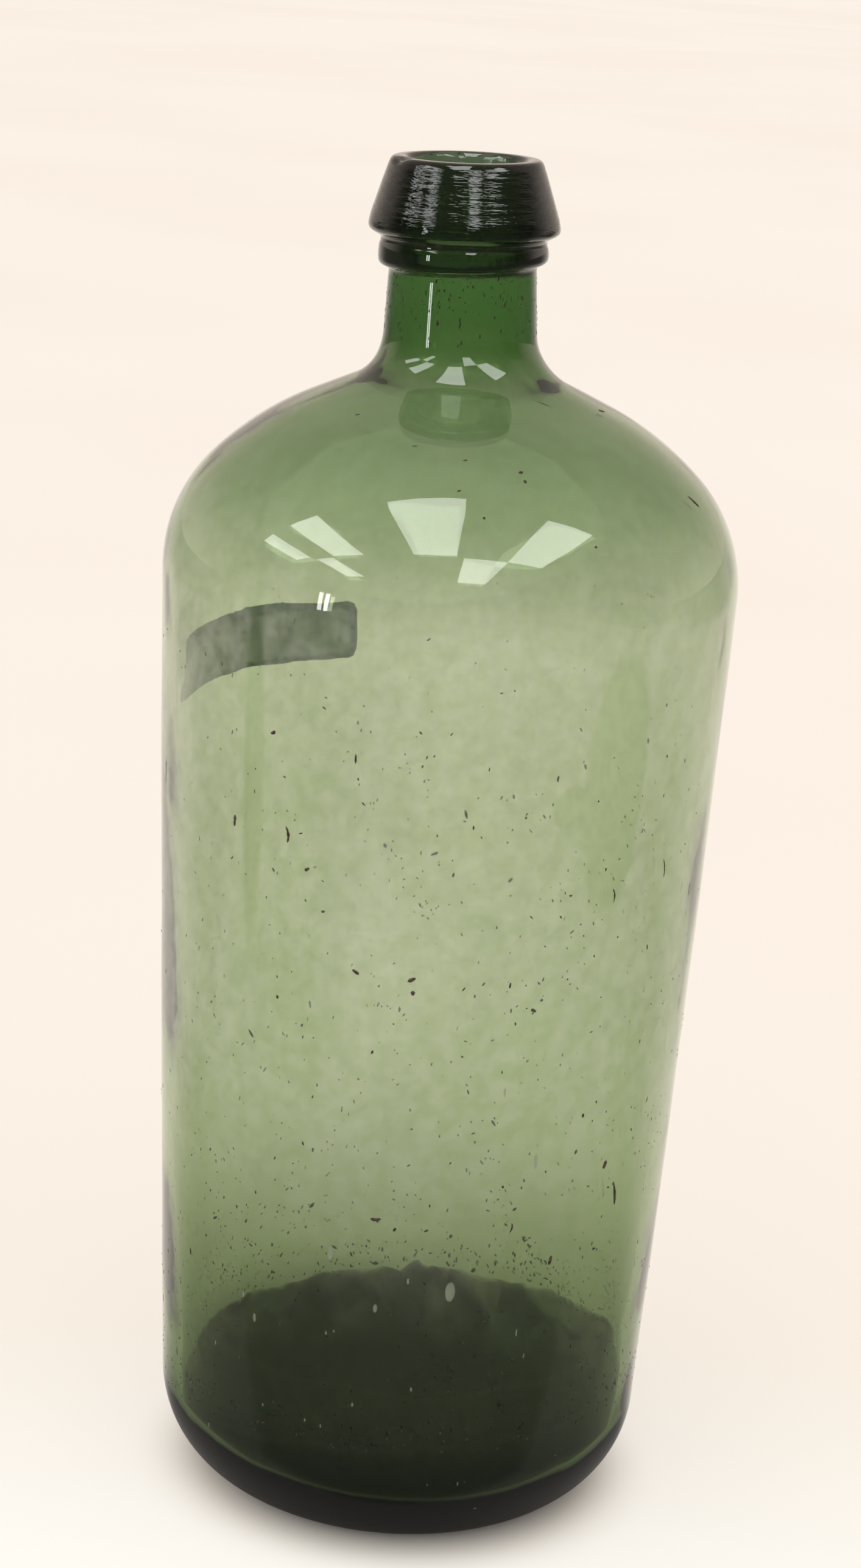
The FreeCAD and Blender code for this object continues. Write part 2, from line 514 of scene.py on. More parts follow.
class Nodes:
    """Short calls for the nodes of a material or of the world."""

    def __init__(self, owner, output="Material", place="Object"):
        owner.use_nodes = True
        self.owner = owner
        self.tree = owner.node_tree
        self.tree.nodes.clear()
        self.output = self.tree.nodes.new("ShaderNodeOutput" + output)
        self.place = self.add("TexCoord").outputs[place]

    def put(self, socket, value):
        if isinstance(value, bpy.types.NodeSocket):
            self.tree.links.new(value, socket)
        else:
            socket.default_value = value

    def add(self, kind, **inputs):
        node = self.tree.nodes.new("ShaderNode" + kind)
        for key, value in inputs.items():
            self.put(node.inputs[key.replace("_", " ")], value)
        return node

    def link(self, out, into):
        self.tree.links.new(out, into)

    def noise(self, scale, detail=3.0, rough=0.5, stretch=(1, 1, 1), shift=0.0, twist=0.0):
        place = self.add("Mapping", Vector=self.place, Scale=stretch, Location=(shift,) * 3)
        node = self.add(
            "TexNoise",
            Vector=place.outputs[0],
            Scale=scale,
            Detail=detail,
            Roughness=rough,
            Distortion=twist,
        )
        return node.outputs["Fac"]

    def ramp(self, value, low, high, to_low=0.0, to_high=1.0):
        node = self.add("MapRange")
        node.interpolation_type = "SMOOTHSTEP"
        for k, v in enumerate((value, low, high, to_low, to_high)):
            self.put(node.inputs[k], v)
        return node.outputs[0]

    def maths(self, operation, a, b=0.0):
        node = self.add("Math")
        node.operation = operation
        self.put(node.inputs[0], a)
        self.put(node.inputs[1], b)
        return node.outputs[0]

    def total(self, *values):
        result = values[0]
        for value in values[1:]:
            result = self.maths("ADD", result, value)
        return result

    def product(self, *values):
        result = values[0]
        for value in values[1:]:
            result = self.maths("MULTIPLY", result, value)
        return result

    def less(self, value):
        return self.maths("SUBTRACT", 1.0, value)

    def mix(self, share, a, b):
        node = self.add("Mix")
        node.data_type = "RGBA"
        for socket, value in ((node.inputs[0], share), (node.inputs[6], a), (node.inputs[7], b)):
            self.put(socket, value)
        return node.outputs[2]

    def attribute(self, name):
        node = self.add("Attribute")
        node.attribute_name = name
        return node.outputs["Fac"]

    def shown(self, shader):
        self.link(shader.outputs[0], self.output.inputs["Surface"])
        return self.owner

    def round_the_axis(self):
        """Degrees round from the front, positive towards +X, and the level."""
        split = self.add("SeparateXYZ", Vector=self.place)
        away = self.maths("MULTIPLY", split.outputs["Y"], -1.0)
        angle = self.maths("ARCTAN2", split.outputs["X"], away)
        return self.product(angle, math.degrees(1.0)), split.outputs["Z"]

    def patch(self, turn, level, middle, size, edge=0.35, ragged=0.0):
        """A soft edged patch on the wall: middle and size are degrees round and metres up."""
        across = self.maths("DIVIDE", self.maths("SUBTRACT", turn, middle[0]), size[0])
        up = self.maths("DIVIDE", self.maths("SUBTRACT", level, middle[1]), size[1])
        reach = self.maths("SQRT", self.total(self.product(across, across), self.product(up, up)))
        if ragged:
            reach = self.total(reach, self.product(self.noise(120.0, 4.0), ragged))
        return self.ramp(reach, 1.0 - edge, 1.0 + edge, 1.0, 0.0)


# A place on the bottle, from its pixel in the photograph
MARCH_STEP = 0.0002
MARCH_START = 0.58
MARCH_END = 0.86


def seen_at(column, row, profile):
    """Where the camera's line through a pixel first meets the wall."""
    across = RIGHT * (column - PICTURE_WIDTH / 2) + DOWN * (row - PICTURE_HEIGHT / 2)
    line = (FORWARD * FOCAL_PIXELS + across).normalized()
    for n in range(int((MARCH_END - MARCH_START) / MARCH_STEP)):
        place = CAMERA_PLACE + line * (MARCH_START + n * MARCH_STEP)
        level = place.z
        lean = math.sin(LEAN) * smooth_step(LEAN_START, LEAN_END, level)
        shift = (level - SHOULDER_LEVEL) * lean
        radius = radius_at(profile, level)
        if radius is not None and math.hypot(place.x - shift, place.y) < radius:
            return place
    raise ValueError("no wall at this pixel")


def turn_and_level(place):
    return math.degrees(math.atan2(place.x, -place.y)), place.z


def placed(column, row):
    """Turn and level of a pixel's place on the outside, and the size of a pixel there."""
    place = seen_at(column, row, OUTSIDE)
    return *turn_and_level(place), (place - CAMERA_PLACE).length / FOCAL_PIXELS


def wall_point(turn, level, profile, shape, lift=0.0):
    """A place on the visual wall, lifted off it along the radius."""
    angle = math.radians(turn - 90.0)
    r = shape(radius_at(profile, level), angle, level) + lift
    return leaned(r * math.cos(angle), r * math.sin(angle), level)


# Glass: the thick neck and lip are much darker than the thin side. The heel and foot are darker
# too, partly from their thick glass and partly as painted shade of the shadowed ground seen
# through them
BODY_TINT = (0.95, 0.96, 0.92, 1.0)
SHOULDER_TINT = (0.51, 0.61, 0.47, 1.0)
NECK_TINT = (0.11, 0.235, 0.085, 1.0)
LIP_TINT = (0.013, 0.027, 0.013, 1.0)
CLEAR = (1.0, 1.0, 1.0, 1.0)
HEEL_TINT_AND_SHADE = (0.42, 0.46, 0.355, 1.0)
FOOT_TINT_AND_SHADE = (0.020, 0.019, 0.017, 1.0)
GRIME = (0.035, 0.024, 0.015, 1.0)

# The levels over which one tint gives way to the next
SHOULDER_FADE = (0.210, 0.240)
HEEL_SHADE_FADE = (0.100, 0.000)
FOOT_SHADE_FADE = (0.036, 0.005)
NECK_FADE = (0.250, 0.268)
LIP_FADE = (0.2812, 0.2824)

# The film of grime: its even, cloudy, mottled and streaked shares, and where it thins out
HAZE_EVEN = 0.015
HAZE_CLOUD = 0.040
HAZE_MOTTLE = 0.085
HAZE_RUNS = 0.040
HAZE_FOOT = (0.055, 0.125, 0.05, 1.0)
HAZE_TOP = (0.205, 0.250, 1.0, 0.35)
HAZE_SKINS = (1.25, 0.75)

# Places with little film, and one upright strip of painted reflection that shows darker with less
# film: pixel, degrees round and metres up, softness and raggedness
CLEAN_AND_REFLECTION_PLACES = {
    "drip_top": ((955, 1330), (8.0, 0.0065), 0.12, 0.5),
    "drip_run": ((1012, 1290), (9.0, 0.034), 0.10, 0.35),
    "dark_reflection_run": ((416, 1260), (2.6, 0.040), 0.25, 0.1),
}
CLEAN_AND_REFLECTION_SHARE = 0.9

# A line that liquid left low on the inside
TIDE_LEVEL = 0.0435
TIDE_WAVE = 0.010
TIDE_EDGE = (0.0007, 0.0001)
TIDE_SHARE = 0.030

# Grime under the string ring and in the groove: levels where each starts and ends
UNDER_RING = ((0.2806, 0.2814), (0.2828, 0.2820))
IN_GROOVE = ((0.2868, 0.2874), (0.2888, 0.2880))
GRIME_SHARE = 0.55

LINES_FOOT = (0.2890, 0.2905)
LINES_TOP = (HEIGHT - 0.0004, HEIGHT - 0.0014)
LINES_DEPTH = 0.0002
WAVE_DEPTH = 0.0002
WAVE_SKINS = (0.20, 0.45)


def glass_material():
    n = Nodes(bpy.data.materials.new("green_glass"))
    turn, level = n.round_the_axis()
    inside = n.attribute("inside")
    within = (inside, 0.4, 0.6)

    # The film is cloudy at large and grainy at small, with faint runs downwards
    cloud = n.ramp(n.noise(22.0, 3.0, 0.55), 0.32, 0.68)
    mottle = n.ramp(n.noise(240.0, 5.0, 0.66, shift=3.0), 0.34, 0.68)
    runs = n.ramp(n.noise(55.0, 3.0, 0.5, (1, 1, 0.14), 7.0), 0.36, 0.66)
    parts = ((cloud, HAZE_CLOUD), (mottle, HAZE_MOTTLE), (runs, HAZE_RUNS))
    haze = n.total(HAZE_EVEN, *[n.product(part, share) for part, share in parts])
    # Less film where drips ran, and on the dark run, which is painted reflection: a darker upright
    # strip
    bare = 0.0
    for pixel, size, edge, ragged in CLEAN_AND_REFLECTION_PLACES.values():
        middle = turn_and_level(seen_at(*pixel, OUTSIDE))
        bare = n.maths("MAXIMUM", bare, n.patch(turn, level, middle, size, edge, ragged))
    haze = n.product(haze, n.less(n.product(bare, CLEAN_AND_REFLECTION_SHARE)), n.ramp(*within, *HAZE_SKINS))
    haze = n.product(haze, n.ramp(level, *HAZE_FOOT), n.ramp(level, *HAZE_TOP))

    wave = n.product(n.maths("SUBTRACT", n.noise(30.0, 3.0), 0.5), TIDE_WAVE)
    away = n.maths("ABSOLUTE", n.maths("SUBTRACT", n.total(level, wave), TIDE_LEVEL))
    haze = n.total(haze, n.product(n.ramp(away, *TIDE_EDGE), n.ramp(*within), TIDE_SHARE))

    under = n.product(*[n.ramp(level, *ends) for ends in UNDER_RING])
    groove = n.product(*[n.ramp(level, *ends) for ends in IN_GROOVE])
    bits = n.ramp(n.noise(420.0, 4.0, 0.6), 0.46, 0.60)
    grime = n.product(n.maths("MAXIMUM", under, groove), n.less(inside), bits, GRIME_SHARE)

    # Only the outer skin carries the neck's and the lip's tint: their edges match their middle
    thin = n.mix(n.ramp(level, *SHOULDER_FADE), BODY_TINT, SHOULDER_TINT)
    # Painted shade: the heel and foot tints darken the glass towards the bottom for the shadowed
    # ground under and behind the bottle, on top of the thick glass there
    thin = n.mix(n.ramp(level, *HEEL_SHADE_FADE), thin, HEEL_TINT_AND_SHADE)
    thin = n.mix(n.ramp(level, *FOOT_SHADE_FADE), thin, FOOT_TINT_AND_SHADE)
    outer = n.mix(n.ramp(level, *NECK_FADE), thin, NECK_TINT)
    outer = n.mix(n.ramp(level, *LIP_FADE), outer, LIP_TINT)
    inner = n.mix(n.ramp(level, *NECK_FADE), thin, CLEAR)
    colour = n.mix(grime, n.mix(n.ramp(*within), outer, inner), GRIME)

    # The lip has fine turned lines, and the rest is faintly wavy
    lines = n.noise(150.0, 3.0, 0.6, (0.9, 0.9, 6.5))
    on_lip = n.product(n.ramp(level, *LINES_FOOT), n.ramp(level, *LINES_TOP))
    wave = n.add("Bump", Height=n.noise(60.0, 2.0, 0.5), Distance=WAVE_DEPTH)
    n.put(wave.inputs["Strength"], n.ramp(*within, *WAVE_SKINS))
    bump = n.add("Bump", Height=n.product(lines, on_lip), Distance=LINES_DEPTH, Strength=1.0)
    n.put(bump.inputs["Normal"], wave.outputs[0])

    shader = n.add("BsdfPrincipled", Normal=bump.outputs[0], Base_Color=colour)
    n.put(shader.inputs["IOR"], 1.52)
    n.put(shader.inputs["Roughness"], 0.02)
    n.put(shader.inputs["Transmission Weight"], n.less(n.maths("MAXIMUM", haze, grime)))
    absorb = n.add("VolumeAbsorption", Color=GLASS_COLOUR, Density=GLASS_DENSITY)
    n.link(absorb.outputs[0], n.output.inputs["Volume"])
    return n.shown(shader)


def make_bottle():
    bm = bmesh.new()
    inside = bm.verts.layers.float.new("inside")
    rings = []
    walls = [(r, z, outer_radius) for r, z in OUTSIDE]
    walls += [(r, z, inner_radius) for r, z in INSIDE[1:]]
    for radius, level, shape in walls:
        if radius < 1e-6:
            ring = [bm.verts.new(leaned(0.0, 0.0, level))]
        else:
            ring = spun_ring(bm, radius, level, shape)
        for vert in ring:
            vert[inside] = 1.0 if shape is inner_radius else 0.0
        rings.append(ring)
    close_rings(bm, rings)
    bottle = new_object("blown_bottle", bm, glass_material())
    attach(bottle, "root")
    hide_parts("bottle")


make_bottle()

# The bare label strip on the back: degrees round from the front, levels, and its skin
LABEL_START = -159.0
LABEL_END = -95.0
LABEL_LOW = 0.1793
LABEL_HIGH = 0.1943
LABEL_CORNER = 0.0025
LABEL_RIM = 0.0022
LABEL_LOW_RIM = 0.4 * LABEL_RIM
LABEL_RADIUS = 0.0625
LABEL_RAG = 0.00025
LABEL_RAGS = 900
LABEL_GLUE = 0.00010
LABEL_SKIN = 0.00022
LABEL_COLUMNS = 96
LABEL_ROWS = 10
LABEL_DARK = (0.012, 0.13, 0.065, 1.0)
LABEL_WORN = (0.23, 0.36, 0.22, 1.0)
LABEL_GRAIN = (0.02, 0.05, 0.045, 1.0)


def label_material():
    n = Nodes(bpy.data.materials.new("bare_label_strip"))
    rim = n.attribute("rim")
    ragged = n.total(rim, n.product(n.maths("SUBTRACT", n.noise(420.0, 4.0, 0.6), 0.5), 0.9))
    patches = n.ramp(n.noise(110.0, 4.0, 0.6, shift=2.0), 0.44, 0.62)
    worn = n.product(n.ramp(ragged, 0.75, 1.15), n.total(0.70, n.product(patches, 0.30)))
    grain = n.ramp(n.noise(900.0, 3.0), 0.3, 0.7, 0.75, 1.0)
    shade = n.mix(grain, LABEL_GRAIN, n.mix(worn, LABEL_DARK, LABEL_WORN))
    bump = n.add("Bump", Height=n.noise(700.0, 4.0, 0.6), Distance=0.0001, Strength=0.5)
    cover = n.product(n.ramp(worn, 0.0, 1.0, 0.97, 0.70), n.ramp(patches, 0.0, 1.0, 1.0, 0.88))
    shader = n.add("BsdfPrincipled", Roughness=0.75, Base_Color=shade, Alpha=cover)
    n.put(shader.inputs["Normal"], bump.outputs[0])
    return n.shown(shader)


def make_label():
    bm = bmesh.new()
    rim = bm.verts.layers.float.new("rim")
    per_degree = math.radians(1.0) * LABEL_RADIUS
    length = (LABEL_END - LABEL_START) * per_degree
    middle = (LABEL_LOW + LABEL_HIGH) / 2
    half = (LABEL_HIGH - LABEL_LOW) / 2
    layers = []
    for lift in (LABEL_GLUE, LABEL_GLUE + LABEL_SKIN):
        grid = []
        for i in range(LABEL_COLUMNS + 1):
            along = length * i / LABEL_COLUMNS
            end = min(along, length - along)
            cut = max(0.0, LABEL_CORNER - end)
            lost = LABEL_CORNER - math.sqrt(LABEL_CORNER**2 - cut**2)
            ragged = LABEL_RAG * noise.noise(Vector((along * LABEL_RAGS, 1.0, 0.0)))
            column = []
            for j in range(LABEL_ROWS + 1):
                share = 2 * j / LABEL_ROWS - 1
                level = middle + share * (half - lost + ragged)
                turn = LABEL_START + along / per_degree
                vert = bm.verts.new(wall_point(turn, level, OUTSIDE, outer_radius, lift))
                low_edge = level - LABEL_LOW + LABEL_LOW_RIM
                vert[rim] = min(end, LABEL_HIGH - level, low_edge) / LABEL_RIM
                column.append(vert)
            grid.append(column)
        for a, b in zip(grid, grid[1:]):
            for j in range(LABEL_ROWS):
                bm.faces.new([a[j], b[j], b[j + 1], a[j + 1]])
        layers.append(grid)
    low, high = layers
    edge = [(i, 0) for i in range(LABEL_COLUMNS)]
    edge += [(LABEL_COLUMNS, j) for j in range(LABEL_ROWS)]
    edge += [(i, LABEL_ROWS) for i in range(LABEL_COLUMNS, 0, -1)]
    edge += [(0, j) for j in range(LABEL_ROWS, 0, -1)]
    for (a, b), (c, d) in zip(edge, edge[1:] + edge[:1]):
        bm.faces.new([low[a][b], low[c][d], high[c][d], high[a][b]])
    label = new_object("label_strip", bm, label_material())
    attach(label, "root")
    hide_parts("label")


make_label()

# Sediment dried on the floor and low on the wall, up to a wavy line
SEDIMENT_LEVEL = 0.0264
SEDIMENT_RISE = 0.0033
SEDIMENT_PEAK = 0.0040
SEDIMENT_NEAR = 0.0036
SEDIMENT_SKIN = 0.00016
SEDIMENT_GAP = 0.00006

# Its ragged edge: height, size and seed of each pattern, and one higher point at the back
SEDIMENT_RAGS = ((0.0007, 4, 1.0), (0.0006, 16, 2.0))
SPIKE_TURN = 176.5
SPIKE_WIDTH = 2.2
SPIKE_HEIGHT = 0.0022

# Up to this level it has the inside's own rings, and then it rises to its edge in rows
SEDIMENT_HEEL_LEVEL = 0.0200
SEDIMENT_ROWS = 6
SEDIMENT_BEND = (0.034, 0.050)
DEEPEST = 30.0

SEDIMENT_DARK = (0.008, 0.012, 0.003, 1.0)
SEDIMENT_BROWN = (0.095, 0.056, 0.018, 1.0)

# Below the edge in millimetres: where it fades in, and where brown turns dark
SEDIMENT_FADE = (-0.9, 1.4)
SEDIMENT_CRUST = (0.9, 3.0)
SEDIMENT_SWIRLS = (0.36, 0.64, 0.38, 0.84)


def sediment_top(turn):
    """Level of the sediment's edge. It stands higher towards +X and in front."""
    side = math.sin(math.radians(turn))
    front = math.cos(math.radians(turn))
    level = SEDIMENT_LEVEL + SEDIMENT_RISE * side + SEDIMENT_PEAK * max(0.0, side) ** 4
    level += SEDIMENT_NEAR * max(0.0, front) ** 2
    for height, size, seed in SEDIMENT_RAGS:
        level += height * noise.noise(Vector((front * size, side * size, seed)))
    return level + SPIKE_HEIGHT * math.exp(-(((turn - SPIKE_TURN) / SPIKE_WIDTH) ** 2))


def sediment_material():
    n = Nodes(bpy.data.materials.new("dried_sediment"))
    depth = n.attribute("depth")
    ragged = n.maths("SUBTRACT", n.noise(260.0, 5.0, 0.65), 0.5)
    reach = n.total(depth, n.product(ragged, 5.0))
    swirls = n.ramp(n.noise(48.0, 6.0, 0.62, twist=1.4), *SEDIMENT_SWIRLS)
    alpha = n.product(n.ramp(reach, *SEDIMENT_FADE), swirls)
    brown = n.mix(n.ramp(reach, *SEDIMENT_CRUST), SEDIMENT_BROWN, SEDIMENT_DARK)
    fine = n.ramp(n.noise(500.0, 4.0, 0.7), 0.35, 0.7)
    colour = n.mix(n.product(fine, 0.16), brown, SEDIMENT_BROWN)
    shader = n.add("BsdfPrincipled", Roughness=0.85, Base_Color=colour, Alpha=alpha)
    return n.shown(shader)


def sediment_vert(bm, depth, angle, radius, level, top):
    vert = bm.verts.new((radius * math.cos(angle), radius * math.sin(angle), level))
    vert[depth] = (top - level) / MM
    return vert


def make_sediment():
    bm = bmesh.new()
    depth = bm.verts.layers.float.new("depth")
    low_run = [p for p in INSIDE if p[1] < SEDIMENT_HEEL_LEVEL][::-1]
    heel_top = low_run[-1][1]
    layers = []
    for lift in (SEDIMENT_GAP, SEDIMENT_GAP + SEDIMENT_SKIN):
        rings = [[bm.verts.new((0.0, 0.0, FLOOR_LEVEL + lift))]]
        rings[0][0][depth] = DEEPEST
        for radius, level in low_run[1:]:
            steep = smooth_step(*SEDIMENT_BEND, radius)
            z = level + lift * (1 - steep)
            ring = []
            for angle in ANGLES:
                r = inner_radius(radius, angle, level) - lift * steep
                top = sediment_top(math.degrees(angle) + 90.0)
                ring.append(sediment_vert(bm, depth, angle, r, z, top))
            rings.append(ring)
        for k in range(1, SEDIMENT_ROWS + 1):
            ring = []
            for angle in ANGLES:
                top = sediment_top((math.degrees(angle) + 90.0 + 180.0) % 360.0 - 180.0)
                z = heel_top + (top - heel_top) * k / SEDIMENT_ROWS
                r = inner_radius(radius_at(INSIDE, z), angle, z) - lift
                ring.append(sediment_vert(bm, depth, angle, r, z, top))
            rings.append(ring)
        close_rings(bm, rings)
        layers.append(rings[-1])
    close_rings(bm, layers)
    sediment = new_object("sediment", bm, sediment_material())
    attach(sediment, "root")


make_sediment()


# Seeds, the bubbles in the near wall: column and row in the photograph, width and height in pixels
SEEDS = {
    "great": (739, 2122, 17, 36),
    "tall": (542, 2059, 9, 24),
    "mid_left": (417, 2165, 6, 16),
    "mid_right": (616, 2149, 7, 15),
    "upper_left": (399, 2126, 4, 12),
    "upper_right": (670, 2105, 4, 12),
    "high_left": (556, 1995, 4, 12),
    "high_right": (652, 2001, 4, 11),
    "low_pair_left": (535, 2190, 3, 8),
    "low_pair_right": (548, 2187, 3, 6),
    "edge_left": (353, 2206, 3, 9),
    "dark_left": (431, 2308, 3, 7),
    "dark_middle": (500, 2333, 3, 7),
    "dark_right": (578, 2308, 4, 8),
    "dark_far_right": (675, 2283, 4, 8),
    "drop": (848, 2190, 3, 14),
    "pale_streak": (880, 1908, 6, 26),
    "pale_dash": (829, 1795, 4, 16),
    "low_speck": (780, 2478, 6, 3),
}
SEED_SKIN = 0.00016
SEED_SUNK = 0.00006
SEED_SIDES = 14
SEED_BANDS = 7
# The seeds are real bubbles, but their grey, paler and darker by a noise, is painted reflection:
# it stands in for the light that a bubble's skin mirrors
SEED_DARK_SHINE = (0.30, 0.33, 0.26, 1.0)
SEED_PALE_SHINE = (0.48, 0.52, 0.42, 1.0)
RANDOM_SEEDS = 64
SEEDS_START = 0.022
SEEDS_HEIGHT = 0.17
SEED_SIZES = (0.00018, 0.00042)
SEED_COVER = 0.36


def wall_axes(turn, level, profile, shape):
    """A place on the wall with its directions round, up along the wall, and outwards."""
    here = wall_point(turn, level, profile, shape)
    across = (wall_point(turn + 0.5, level, profile, shape) - here).normalized()
    up = (wall_point(turn, level + 0.0004, profile, shape) - here).normalized()
    return here, across, up, across.cross(up).normalized()


def seed_shine_material():
    n = Nodes(bpy.data.materials.new("glass_seeds"))
    # Painted reflection: a grey in place of the light the bubble mirrors
    shade = n.mix(n.noise(600.0, 2.0), SEED_DARK_SHINE, SEED_PALE_SHINE)
    shader = n.add("BsdfPrincipled", Roughness=0.35, Base_Color=shade, Alpha=SEED_COVER)
    return n.shown(shader)


def add_seed(bm, turn, level, width, height):
    """A flat ellipsoid blister just under the skin of the glass."""
    here, across, up, out = wall_axes(turn, level, OUTSIDE, outer_radius)
    middle = here - out * SEED_SUNK
    ends = [bm.verts.new(middle + up * height / 2), bm.verts.new(middle - up * height / 2)]
    bands = []
    for b in range(1, SEED_BANDS):
        tip = math.pi * b / SEED_BANDS
        band = []
        for k in range(SEED_SIDES):
            angle = 2 * math.pi * k / SEED_SIDES
            reach = math.sin(tip)
            place = middle + up * (math.cos(tip) * height / 2)
            place = place + across * (reach * math.cos(angle) * width / 2)
            band.append(bm.verts.new(place + out * (reach * math.sin(angle) * SEED_SKIN)))
        bands.append(band)
    for low, high in zip(bands, bands[1:]):
        for k in range(SEED_SIDES):
            m = (k + 1) % SEED_SIDES
            bm.faces.new([low[k], high[k], high[m], low[m]])
    for k in range(SEED_SIDES):
        m = (k + 1) % SEED_SIDES
        bm.faces.new([ends[0], bands[0][k], bands[0][m]])
        bm.faces.new([ends[1], bands[-1][m], bands[-1][k]])


def make_seeds():
    bm = bmesh.new()
    for column, row, width, height in SEEDS.values():
        turn, level, scale = placed(column, row)
        add_seed(bm, turn, level, width * scale, height * scale)
    for _ in range(RANDOM_SEEDS):
        turn = random.uniform(-180.0, 180.0)
        level = SEEDS_START + SEEDS_HEIGHT * random.random() ** 2.2
        size = random.uniform(*SEED_SIZES)
        add_seed(bm, turn, level, size, size * random.uniform(1.6, 3.4))
    seeds = new_object("glass_seeds", bm, seed_shine_material())
    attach(seeds, "root")


make_seeds()

# Flecks of dirt: column and row, length and width in pixels, tilt from upright, and bend
FLECKS = {
    "shoulder_left": (587, 681, 10, 4, 60, 0.0),
    "shoulder_middle": (764, 756, 9, 4, 80, 0.0),
    "crown_right": (862, 791, 8, 7, 0, 0.0),
    "crown_right_top": (855, 776, 9, 6, 70, 0.0),
    "crown_left": (681, 732, 10, 3, 80, 0.3),
    "crown_slit": (893, 664, 26, 3, -40, 0.0),
    "crown_low": (754, 806, 7, 4, 60, 0.0),
    "shoulder_brown": (1140, 824, 30, 12, -30, 0.0),
    "shoulder_patch": (989, 676, 22, 9, -65, 0.1),
    "shoulder_speck": (795, 851, 5, 5, 0, 0.0),
    "shoulder_right": (979, 899, 5, 5, 0, 0.0),
    "crescent_high": (1090, 1427, 38, 4, -12, 0.22),
    "crescent_low": (1007, 1472, 27, 4, -10, 0.30),
    "crescent_pair": (1132, 1461, 24, 4, 5, 0.0),
    "crescent_small": (1063, 1556, 12, 3, -10, 0.2),
    "crescent_base": (838, 2017, 19, 4, 8, 0.3),
    "left_line": (273, 1267, 46, 3, 0, 0.0),
    "long_fleck": (1008, 1960, 50, 7, -14, 0.1),
    "left_run": (385, 1348, 22, 7, 5, 0.0),
    "left_curl": (470, 1371, 30, 6, -8, 0.25),
    "middle_dot": (678, 1632, 9, 8, 0, 0.0),
    "middle_smear": (676, 1610, 16, 9, 60, 0.0),
    "left_dot": (455, 1638, 7, 6, 0, 0.0),
    "left_smear": (584, 1597, 15, 8, -60, 0.0),
    "middle_left": (611, 1729, 8, 5, 20, 0.0),
    "cluster_big": (617, 2002, 19, 7, 85, 0.2),
    "cluster_left": (648, 2020, 8, 5, 30, 0.0),
    "cluster_right": (700, 2022, 9, 4, 60, 0.0),
    "low_fleck": (903, 2070, 18, 9, 10, 0.0),
    "low_brown": (797, 2171, 14, 5, 85, 0.0),
    "low_dark": (757, 2205, 10, 5, 80, 0.0),
    "right_dot": (958, 1833, 8, 6, 0, 0.0),
    "right_mark": (993, 1913, 16, 9, 20, 0.0),
    "under_label": (448, 1203, 12, 8, 60, 0.2),
    "drip_fleck": (584, 1247, 18, 5, 0, 0.0),
    "neck_fleck": (828, 460, 8, 4, 10, 0.0),
    "neck_speck": (728, 462, 9, 3, 10, 0.0),
    "neck_dash": (789, 472, 6, 3, -20, 0.0),
}
AMBER = {"amber_high": (1048, 2040, 9, 5, 0, 0.0), "amber_low": (1055, 2079, 8, 4, 0, 0.0)}
FLECK_SKIN = 0.00005
FLECK_SUNK = 0.00003
FLECK_STEPS = 6
DIRT_DARK = (0.018, 0.012, 0.006, 1.0)
DIRT_BROWN = (0.105, 0.062, 0.026, 1.0)
AMBER_DARK = (0.25, 0.12, 0.02, 1.0)
AMBER_PALE = (0.45, 0.26, 0.06, 1.0)

# Random specks, all over, in clusters, over the sediment's edge and on the neck
SPECKS = 1250
SPECKS_START = 0.030
SPECKS_HEIGHT = 0.175
CLUSTERS = 38
CLUSTERS_START = 0.034
CLUSTERS_HEIGHT = 0.12
CLUSTER_SPREAD = (5.0, 0.0035)
EDGE_SPECKS = 380
EDGE_GAP = 0.0003
EDGE_SPREAD = 0.0032
SPECK_SIZES = (0.00017, 0.00045)
LARGER = 1.7
LARGER_SHARE = 0.10
INSIDE_SHARE = 0.6
NECK_SPECKS = 170
NECK_SPECKS_START = 0.2660
NECK_SPECKS_HEIGHT = 0.0145
NECK_SPECK_SIZES = (0.00015, 0.00042)


def fleck_material(name, dark, light):
    n = Nodes(bpy.data.materials.new(name))
    shade = n.mix(n.ramp(n.noise(1500.0, 3.0), 0.35, 0.65), dark, light)
    cover = n.ramp(n.noise(900.0), 0.2, 0.6, 0.65, 0.95)
    shader = n.add("BsdfPrincipled", Roughness=0.8, Base_Color=shade, Alpha=cover)
    return n.shown(shader)


def add_fleck(bm, turn, level, length, width, tilt, bend, inside=False):
    """A thin ridge of dirt along a straight or bent line, ragged and pointed at its ends."""
    profile, shape = (INSIDE, inner_radius) if inside else (OUTSIDE, outer_radius)
    here, across, up, out = wall_axes(turn, level, profile, shape)
    if inside:
        out = -out
    lean = math.radians(tilt)
    along = up * math.cos(lean) + across * math.sin(lean)
    side = across * math.cos(lean) - up * math.sin(lean)
    rows = []
    for k in range(FLECK_STEPS + 1):
        t = 2 * k / FLECK_STEPS - 1
        middle = here + along * (t * length / 2) + side * (bend * length * (1 - t * t) / 2)
        if k in (0, FLECK_STEPS):
            rows.append([bm.verts.new(middle - out * FLECK_SUNK)] * 3)
            continue
        half = width / 2 * math.sqrt(1 - t * t) * random.uniform(0.65, 1.15)
        left = bm.verts.new(middle - side * half - out * FLECK_SUNK)
        right = bm.verts.new(middle + side * half - out * FLECK_SUNK)
        rows.append([left, bm.verts.new(middle + out * FLECK_SKIN), right])
    for a, b in zip(rows, rows[1:]):
        for k in range(3):
            m = (k + 1) % 3
            face = []
            for vert in (a[k], b[k], b[m], a[m]):
                if vert not in face:
                    face.append(vert)
            bm.faces.new(face)


def add_flecks_seen(bm, flecks):
    for column, row, length, width, tilt, bend in flecks.values():
        turn, level, scale = placed(column, row)
        add_fleck(bm, turn, level, length * scale, width * scale, tilt, bend)


